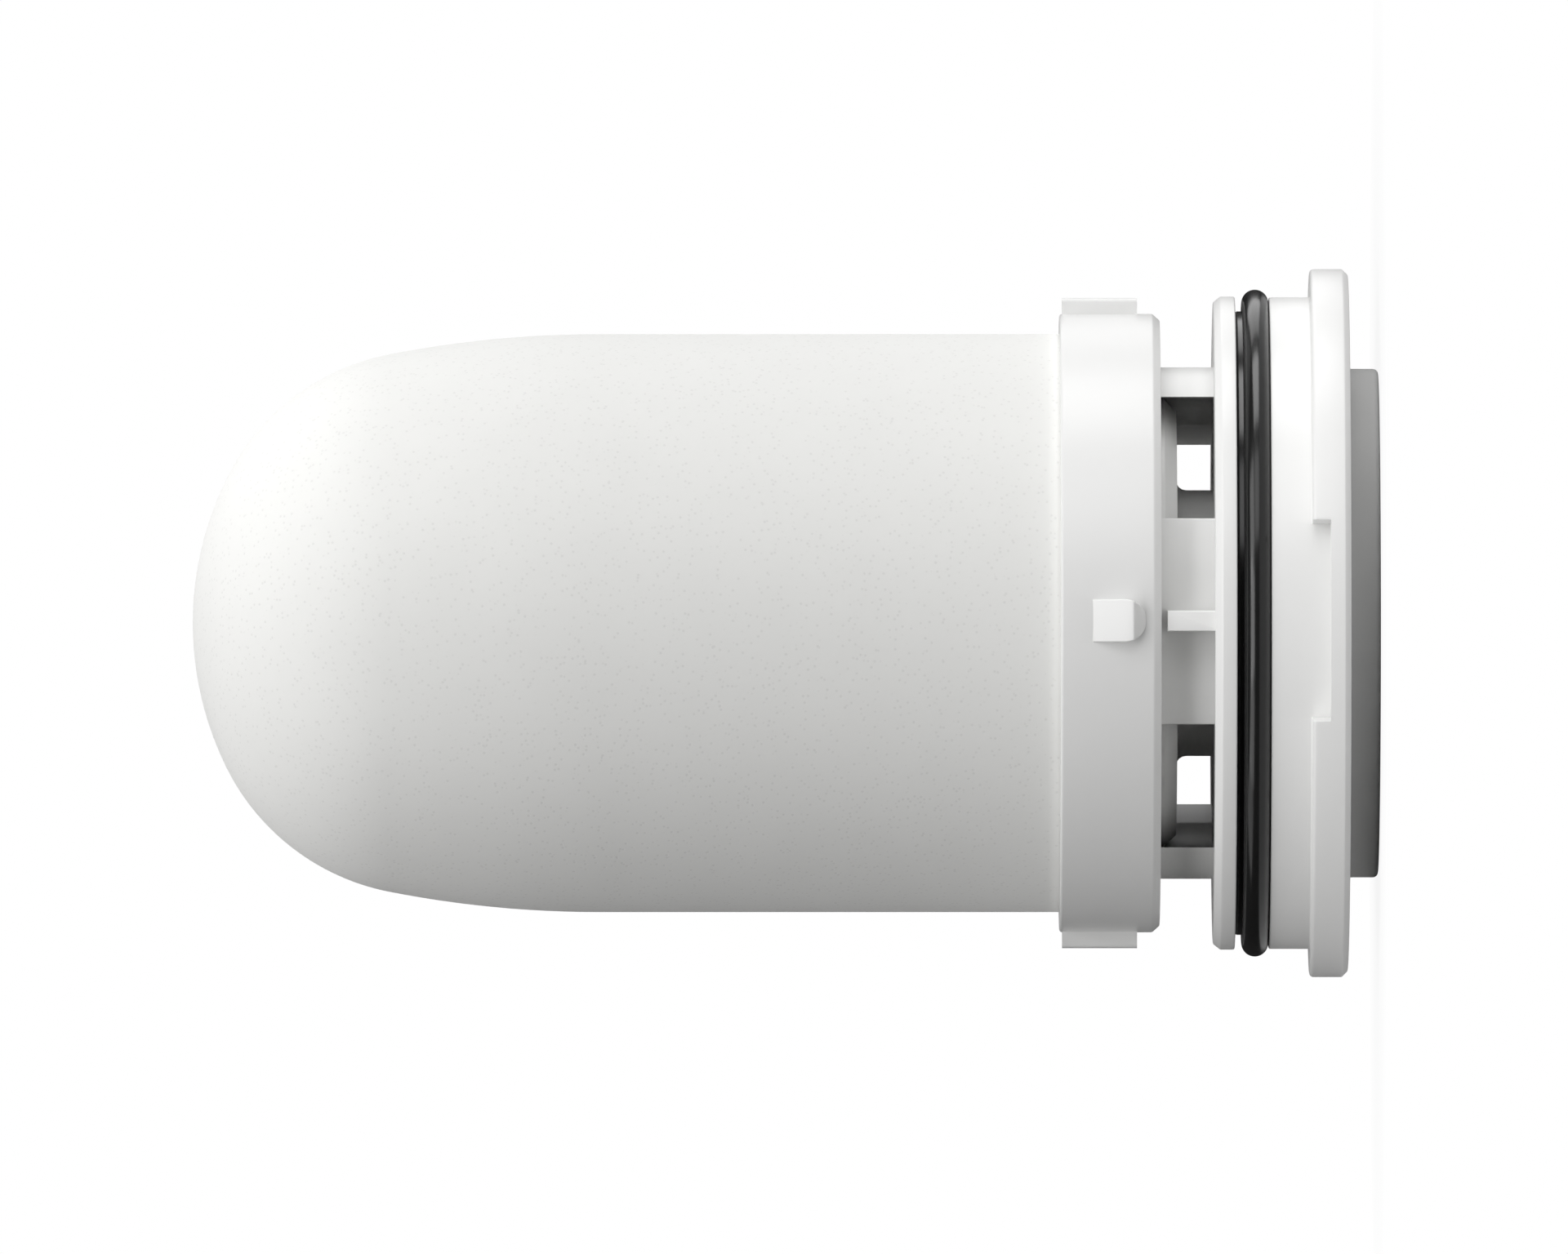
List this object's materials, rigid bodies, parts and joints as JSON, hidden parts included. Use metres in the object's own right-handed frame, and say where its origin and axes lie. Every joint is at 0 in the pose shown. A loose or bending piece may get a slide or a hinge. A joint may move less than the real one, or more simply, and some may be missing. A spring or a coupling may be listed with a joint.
{
  "type": "faucet water filter",
  "caption": "Washable ceramic dome filter cartridge for a tap, bonded into a lugged plastic collar, with a slotted neck, a ring-sealed notched flange and an outlet boss.",
  "frame": {"origin": "centre of the boss's end face, which is the face the cartridge stands on", "axes": "+Z along the cartridge's axis from the boss to the tip of the dome; +X through the middle of one long lug of the collar; -Y is the side with the fin on the neck"},
  "size_m": [0.049, 0.049, 0.082],
  "materials": {
    "ceramic": "matte",
    "bonding_compound": "satin",
    "carbon": "matte",
    "felt": "matte",
    "grid_plastic": "satin",
    "collar_plastic": "satin",
    "seal_rubber": "satin",
    "cap_plastic": "satin"
  },
  "bodies": {
    "root": {"ceramic_shell": "ceramic", "bonding_ring": "bonding_compound", "carbon_charge": "carbon", "felt_pad": "felt", "retaining_grid": "grid_plastic", "collar": "collar_plastic", "tube_seal": "seal_rubber", "ring_seal": "seal_rubber", "end_cap": "cap_plastic"}
  },
  "joints": []
}
